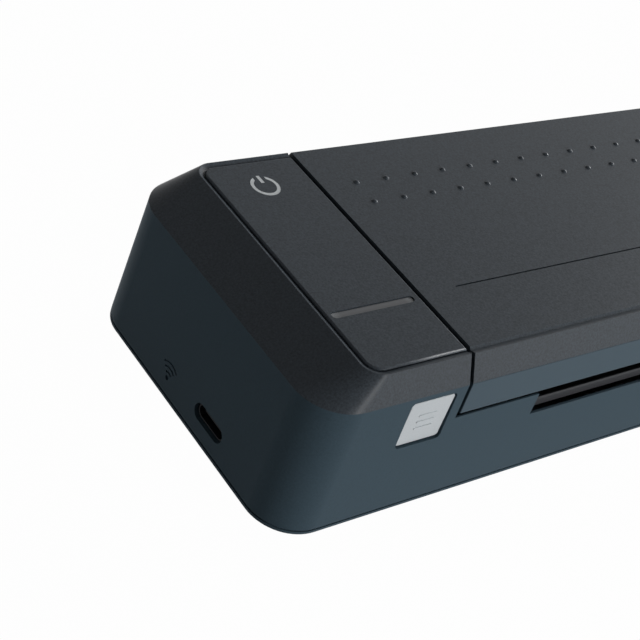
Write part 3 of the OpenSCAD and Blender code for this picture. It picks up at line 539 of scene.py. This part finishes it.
# A size that ends in _in is measured in from a long edge, and _deep or _drop down from the top.
dot_pitch, dot_across, dot_height = 7.88 * MM, 1.4 * MM, 0.4 * MM
dot_margin, rows_in = 8.5 * MM, (21 * MM, 14.5 * MM)
cover_low, cover_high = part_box("lid_cover")
cover_length = cover_high.x - cover_low.x
top, back = cover_high.z - dot_height, cover_high.y
rim_in, rim_drop = 2.6 * MM, 0.05 * MM
groove_in, groove_deep = 3.8 * MM, 0.5 * MM
plane_in = 4.25 * MM
edge_radius = 0.14 * MM
foot_corner = [(back - 0.1 * MM, belt), (back, belt), (back - 0.05 * MM, belt + 0.1 * MM)]
section = foot_corner + [
    (back - rim_in, top), (plane_in - back, top), (groove_in - back, top - groove_deep),
    (rim_in - back, top - rim_drop)] + [(-y, z) for y, z in reversed(foot_corner)]

dot_count = int((cover_length - 2 * dot_margin) / dot_pitch) + 1
dot_rows = [back - row_in for row_in in rows_in]
dot_ball = (dot_across ** 2 / 4 + dot_height ** 2) / (2 * dot_height)
line_y, line_wide, line_deep = 19.5 * MM - back, 0.36 * MM, 0.3 * MM
line_inset = 8.85 * MM
end_wall, foot_wall_in, roof_wall_in, roof_deep = 1.5 * MM, 1.9 * MM, 3.9 * MM, 2 * MM
hollow_ends = cover_length / 2 - end_wall
hollow_foot, hollow_top = (back - foot_wall_in, belt - MM), (back - roof_wall_in, top - roof_deep)

covers, given, result = start_geometry("cover_with_dots", {
    "Length": "NodeSocketFloat", "Edge radius": "NodeSocketFloat",
    "Dot radius": "NodeSocketFloat", "Dot centre": "NodeSocketVector",
    "Dots in a row": "NodeSocketInt", "Row length": "NodeSocketFloat",
    "Row distance": "NodeSocketFloat", "Line size": "NodeSocketVector",
    "Line centre": "NodeSocketVector", "Hollow": "NodeSocketObject",
    "Finish": "NodeSocketMaterial"})
wire = add(covers, "GeometryNodeMeshToCurve", None, {"Mesh": given["Geometry"]})
rounded = add(covers, "GeometryNodeFilletCurve", {"mode": "POLY"}, {
    "Curve": wire.outputs["Curve"], "Count": 3, "Radius": given["Edge radius"],
    "Limit Radius": True})
ends = []
for share in (-0.5, 0.5):
    end_x = add(covers, "ShaderNodeMath", {"operation": "MULTIPLY"}, {0: given["Length"], 1: share})
    ends.append(add(covers, "ShaderNodeCombineXYZ", None, {"X": end_x.outputs[0]}))
run = add(covers, "GeometryNodeCurvePrimitiveLine", None, {
    "Start": ends[0].outputs["Vector"], "End": ends[1].outputs["Vector"]})
bar = add(covers, "GeometryNodeCurveToMesh", None, {
    "Curve": run.outputs["Curve"], "Profile Curve": rounded.outputs["Curve"], "Fill Caps": True})
rows = add(covers, "GeometryNodeMeshGrid", None, {
    "Size X": given["Row length"], "Size Y": given["Row distance"],
    "Vertices X": given["Dots in a row"], "Vertices Y": 2})
rows_placed = add(covers, "GeometryNodeTransform", None, {
    "Geometry": rows.outputs["Mesh"], "Translation": given["Dot centre"]})
ball = add(covers, "GeometryNodeMeshUVSphere", None, {
    "Segments": 24, "Rings": 24, "Radius": given["Dot radius"]})
balls = add(covers, "GeometryNodeInstanceOnPoints", None, {
    "Points": rows_placed.outputs["Geometry"], "Instance": ball.outputs["Mesh"]})
balls_solid = add(covers, "GeometryNodeRealizeInstances", None, {
    "Geometry": balls.outputs["Instances"]})
joined = add(covers, "GeometryNodeMeshBoolean", {"operation": "UNION", "solver": "EXACT"})
for part in (bar.outputs["Mesh"], balls_solid.outputs["Geometry"]):
    covers.links.new(part, joined.inputs["Mesh 2"])
taken = add(covers, "GeometryNodeMeshBoolean", {"operation": "DIFFERENCE", "solver": "EXACT"}, {
    "Mesh 1": joined.outputs["Mesh"]})
blade = add(covers, "GeometryNodeMeshCube", None, {"Size": given["Line size"]})
blade_placed = add(covers, "GeometryNodeTransform", None, {
    "Geometry": blade.outputs["Mesh"], "Translation": given["Line centre"]})
core = add(covers, "GeometryNodeObjectInfo", None, {"Object": given["Hollow"]})
for cutter in (blade_placed, core):
    covers.links.new(cutter.outputs["Geometry"], taken.inputs["Mesh 2"])
coated = add(covers, "GeometryNodeSetMaterial", None, {
    "Geometry": taken.outputs["Mesh"], "Material": given["Finish"]})
covers.links.new(coated.outputs["Geometry"], result["Geometry"])

outline = bpy.data.meshes.new("lid_cover_moulding")
outline.from_pydata(
    [(-y, -z, 0) for y, z in section],
    [(i, (i + 1) % len(section)) for i in range(len(section))], [])
cover = bpy.data.objects.new("lid_cover_moulding", outline)
bpy.context.scene.collection.objects.link(cover)
hollow = block("cover_hollow", (-hollow_ends, -hollow_foot[0], hollow_foot[1]), (
    hollow_ends, hollow_foot[0], hollow_top[1]))
for vert in hollow.data.vertices:
    if vert.co.z > belt:
        vert.co.y *= hollow_top[0] / hollow_foot[0]
made_by(cover, covers, {
    "Length": cover_length, "Edge radius": edge_radius,
    "Dot radius": dot_ball,
    "Dot centre": (0, sum(dot_rows) / 2, top + dot_height - dot_ball),
    "Dots in a row": dot_count,
    "Row length": (dot_count - 1) * dot_pitch,
    "Row distance": dot_rows[1] - dot_rows[0],
    "Line size": (cover_length - 2 * line_inset, line_wide, 2 * line_deep),
    "Line centre": (0, line_y, top),
    "Hollow": hollow, "Finish": graphite_paint})
bpy.data.objects.remove(hollow)
cover.data.transform(Matrix.Translation(((cover_low.x + cover_high.x) / 2, 0, 0)))


def at_ends_or_line(edge):
    """1 for the edges at the cover's two ends, a third for the rims of the line, 0 at the dots."""
    end_within, face_within = 0.01 * MM, 0.02 * MM
    x, y, z = middle_of(edge)
    if min(x - cover_low.x, cover_high.x - x) < end_within:
        return 1
    return 0.35 if abs(y - line_y) < MM and z > top - face_within else 0


put_in_place(
    soften(cover, 0.3, at_ends_or_line), graphite_paint, "top_graphite", "lid_cover")

# ---------------------------------------------------------------- lid frame
# The slate ABS frame under the painted cover: a plate with a deep skirt in front, a short one at
# the back, end walls, two hinge knuckles, and the nose that the release hook holds.
def skirt_edges(edge):
    """1 for the skirt's outer edges in front, a third elsewhere."""
    return 1 if middle_of(edge).y < skin_depth - back else 0.3


# The same ABS with a finer texture, coloured a shade lighter as painted light: the skirt catches
# more light than the housing's front.
slate_painted_lighter = grained("slate_abs_painted_lighter", "#4B5A64", 0.3, 0.06, 0.5, 0.008, 0.06)
put_in_place(
    moulded_copy("lid_frame", "lid_frame_moulding", 0.5, skirt_edges),
    slate_painted_lighter, "housing_slate", "lid_frame")
lid_screw = cross_head_screw("lid_screw", 3.8)
put_in_place(
    repeated("lid_frame_screws", lid_screw, under(separate_solids("lid_screws")), zinc_plate),
    zinc_plate, "steel", "lid_screws")
bpy.data.objects.remove(lid_screw)

# ---------------------------------------------------------------- release button
# A square push button in front of the left cap: ABS, sprayed satin silver, with three raised
# grip bars. Behind it a black slider carries the hook, and a coil spring pushes both back.
button_low, button_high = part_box("push_button")
bars_in = 2.4 * MM


def at_button_rim(edge):
    """1 for the edges of the button's face, none for the grip bars on it."""
    x, y, z = middle_of(edge)
    inside = min(x - button_low.x, button_high.x - x, z - button_low.z, button_high.z - z)
    return 0 if inside > bars_in else 1


# Silver paint: a fine bright flake, satin, without a hard mirror.
silver_paint = grained("satin_silver_paint", "#C4CACE", 0.25, 0.05, 0.38, 0.006, 0.5)
put_in_place(
    moulded_copy("push_button", "release_button", 0.35, at_button_rim),
    silver_paint, "button_silver", "push_button")

# Black acetal and ABS: dense, waxy, nearly black.
black_plastic = grained("black_acetal_moulded", "#1C1E20", 0.5, 0.1, 0.5, 0.01, 0.25)
put_in_place(
    moulded_copy("latch_slider", "hook_slider", 0.2),
    black_plastic, "black_plastic", "latch_slider")

# Drawn spring steel: brighter and smoother than the plated parts, with fine marks of the die.
spring_wire = brushed_metal("spring_steel_drawn", "#C2C3C4", 0.1, (1, 1, 1), 0.28)
coil = put_in_place(
    moulded_copy("button_spring", "button_coil", 0.02, lambda edge: 0),
    spring_wire, "steel", "button_spring")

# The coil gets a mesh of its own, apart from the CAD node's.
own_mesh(coil)

# ---------------------------------------------------------------- paper mouth
# A thin black ABS blade on a shelf stands in the mouth and guides the sheet out over its edge. A
# mask colours its front face graphite grey and everything behind it near black, as painted shade of
# the dark mouth.
blade_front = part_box("paper_guide_bar")[0].y
painted_shade_offset = 0.25 * MM

# Black ABS, grey in front like the graphite paint; the near black behind the front face is painted
# shade of the mouth.
front_paint_and_painted_shade, tree = start_finish("black_abs_sprayed_front_painted_shade_behind")
place = add(tree, "ShaderNodeTexCoord").outputs["Object"]
depth = add(tree, "ShaderNodeSeparateXYZ", None, {"Vector": place}).outputs["Y"]
# Painted shade: everything behind the front face is coloured near black.
painted_shade_behind = add(tree, "ShaderNodeMath", {"operation": "GREATER_THAN"}, {
    0: depth, 1: blade_front + painted_shade_offset}).outputs[0]
cover_with(tree, {
    "Base Color": mixed(tree, painted_shade_behind, linear("#3C3D40"), linear("#101113")),
    "Roughness": 0.45, "IOR": 1.5, "Specular IOR Level": 0.1})
put_in_place(
    moulded_copy("paper_guide_bar", "guide_bar", 0.12),
    front_paint_and_painted_shade, "top_graphite", "paper_guide_bar")

# ---------------------------------------------------------------- charging socket
# A type C receptacle on the main board, behind the opening in the end face: a drawn steel shell
# round a tongue, coloured dark as painted shade of the opening.

# Dark plated steel: metallic, with draw marks along the shell; its dark colour is painted shade
# inside the opening.
socket_steel_painted_shade = brushed_metal("plated_steel_painted_dark_shade", "#2C2D2F", 0.1, (4, 1, 1), 0.4)
put_in_place(
    moulded_copy("usb_c_receptacle", "charging_socket", 0.08),
    socket_steel_painted_shade, "steel", "usb_c_receptacle")

# ---------------------------------------------------------------- inner pieces
# The works between the caps and in the lid: pressed steel tray and side frames, the rubber
# roller in its bronze bushes, moulded gears, motor, boards and cells, and the ceramic print head
# on an aluminium heat sink. Screws hold deck, motor and boards; pins carry the idler and the lid.

# Moulded acetal: cream, waxy, slightly shiny.
gear_acetal = grained("natural_acetal_moulded", "#D9D4C5", 0.6, 0.04, 0.4, 0.005, 0.4)
# Ground silicone rubber: near black and dull, with the even nap of the grinding wheel.
roller_rubber = grained("silicone_rubber_ground", "#26272A", 0.25, 0.12, 0.75, 0.01, 0.3)
# Sintered bronze: brown and grainy, dull for a metal.
bush_bronze = brushed_metal("sintered_bronze", "#B08D57", 0.2, (1, 1, 1), 0.5)
# Solder mask: a dark green coat, glossy and slightly cloudy.
board_green = grained("solder_mask_green", "#1E5A3A", 0.8, 0.1, 0.3, 0.005, 0.5)
# Shrunk PVC sleeve: tight, blue and shiny.
sleeve_blue = grained("pvc_shrink_sleeve", "#2F6FA8", 1.5, 0.06, 0.25, 0.01, 0.5)
# Extruded PVC: smooth red skin of a wire.
lead_red = grained("pvc_wire_insulation", "#A33A32", 0.5, 0.05, 0.4, 0.005, 0.4)
# Laminated polyester tape: off-white, smooth, half glossy.
flat_lead = grained("flat_flexible_lead", "#D8D8D2", 0.5, 0.04, 0.35, 0.002, 0.5)
# Fired glaze: ivory, smooth and glossy.
ceramic = grained("glazed_ceramic", "#D6D0C4", 0.4, 0.03, 0.2, 0.002, 0.5)
# Extruded aluminium: pale, with lines along the bar.
aluminium = brushed_metal("extruded_aluminium", "#C6C8CA", 0.2, (30, 1, 1), 0.35)
# Cast epoxy over the indicator lights: bright and glassy.
clear_resin = grained("clear_resin", "#DDE3E6", 0.5, 0.02, 0.2, 0.002, 0.5)

for node, finish, slot, radius in (
        ("chassis_tray", zinc_plate, "steel", 0.2),
        ("left_side_frame", zinc_plate, "steel", 0.2),
        ("right_side_frame", zinc_plate, "steel", 0.2),
        ("platen_bushes", bush_bronze, "bush_bronze", 0.15),
        ("paper_deck", black_plastic, "black_plastic", 0.2),
        ("deck_screws", zinc_plate, "steel", 0.1),
        ("paper_sensor", black_plastic, "black_plastic", 0.2),
        ("cover_switch", black_plastic, "black_plastic", 0.2),
        ("drive_motor", zinc_plate, "steel", 0.3),
        ("motor_screws", zinc_plate, "steel", 0.1),
        ("motor_cable", flat_lead, "flat_lead", 0.05),
        ("idler_shaft", zinc_plate, "steel", 0.15),
        ("hinge_pins", zinc_plate, "steel", 0.2),
        ("platen_shaft", zinc_plate, "steel", 0.3),
        ("platen_roller", roller_rubber, "platen_rubber", 0.3),
        ("platen_gear", gear_acetal, "gear_acetal", 0.08),
        ("idler_gear", gear_acetal, "gear_acetal", 0.08),
        ("motor_shaft", zinc_plate, "steel", 0.15),
        ("motor_pinion", gear_acetal, "gear_acetal", 0.06),
        ("print_head", ceramic, "head_ceramic", 0.04),
        ("head_heat_sink", aluminium, "sink_aluminium", 0.2),
        ("head_springs", spring_wire, "steel", 0.08),
        ("head_brackets", zinc_plate, "steel", 0.2),
        ("head_flex", flat_lead, "flat_lead", 0.05),
        ("key_board", board_green, "board_green", 0.05),
        ("main_board", board_green, "board_green", 0.05),
        ("status_leds", clear_resin, "led_white", 0.08),
        ("power_switch", black_plastic, "black_plastic", 0.1),
        ("power_plunger", black_plastic, "black_plastic", 0.15),
        ("board_screws", zinc_plate, "steel", 0.1),
        ("battery_cells", sleeve_blue, "cell_wrap", 0.4),
        ("battery_cradle", black_plastic, "black_plastic", 0.2),
        ("battery_leads", lead_red, "lead_red", 0.05)):
    put_in_place(moulded_copy(node, node + "_piece", radius), finish, slot, node)

# ---------------------------------------------------------------- floor and light
# A white floor and a white surround. The floor shows white to the camera and to reflections, and
# keeps a faint shadow. The light is soft and comes low from the right and from the front, so the
# end with the control panel lies in shade.
white_share = 0.985
room_strength = 0.02
sheet_size = 4.0
aim = (-0.1, 0, 0.02)


def looked_at(tree):
    """1 where the camera, a reflection or a ray through clear material looks, 0 for other light."""
    sees = add(tree, "ShaderNodeLightPath").outputs
    bright = sees["Is Camera Ray"]
    for ray in ("Is Glossy Ray", "Is Transmission Ray"):
        bright = add(tree, "ShaderNodeMath", {"operation": "MAXIMUM"}, {
            0: bright, 1: sees[ray]}).outputs[0]
    return bright


# White paper sweep: shows white, apart from the small share that takes the shadow.
floor_white, tree = start_finish("white_sweep")
mostly = add(tree, "ShaderNodeMath", {"operation": "MULTIPLY"}, {
    0: looked_at(tree), 1: white_share}).outputs[0]
lit = add(tree, "ShaderNodeBsdfDiffuse", None, {"Color": linear("#C8C8C8")}).outputs["BSDF"]
glow = add(tree, "ShaderNodeEmission", None, {
    "Color": linear("#FFFFFF"), "Strength": 1.0}).outputs[0]
shown = add(tree, "ShaderNodeMixShader", None, {0: mostly, 1: lit, 2: glow}).outputs[0]
add(tree, "ShaderNodeOutputMaterial", None, {"Surface": shown})
work = bmesh.new()
bmesh.ops.create_grid(work, x_segments=1, y_segments=1, size=sheet_size)
floor = link_mesh("floor", work)
floor.data.materials.append(floor_white)
floor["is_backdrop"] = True

surround = bpy.data.worlds.new("white_surround")
surround.use_nodes = True
tree = surround.node_tree
tree.nodes.clear()
room, white = (
    add(tree, "ShaderNodeBackground", None, {
        "Color": linear("#FFFFFF"), "Strength": strength}).outputs[0]
    for strength in (room_strength, 1.0))
shown = add(tree, "ShaderNodeMixShader", None, {0: looked_at(tree), 1: room, 2: white}).outputs[0]
add(tree, "ShaderNodeOutputWorld", None, {"Surface": shown})
bpy.context.scene.world = surround


def softbox(name, place, size, power):
    """A square area lamp of size metres at place, turned towards the printer, with power watts."""
    lamp = bpy.data.lights.new(name, "AREA")
    lamp.shape = "SQUARE"
    lamp.size = size
    lamp.energy = power
    holder = bpy.data.objects.new(name, lamp)
    holder.location = place
    holder.rotation_euler = (Vector(aim) - Vector(place)).to_track_quat("-Z", "Y").to_euler()
    bpy.context.scene.collection.objects.link(holder)


softbox("right", (1.98, 0.22, 0.68), 0.9, 38)
softbox("front_right", (1.19, -1.75, 0.28), 0.9, 15)
softbox("front", (0.56, -1.97, 0.68), 0.45, 20.5)
softbox("left", (-2.1, 0.22, 0.9), 0.9, 3.3)

bpy.context.scene.view_settings.view_transform = "Standard"

low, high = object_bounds()
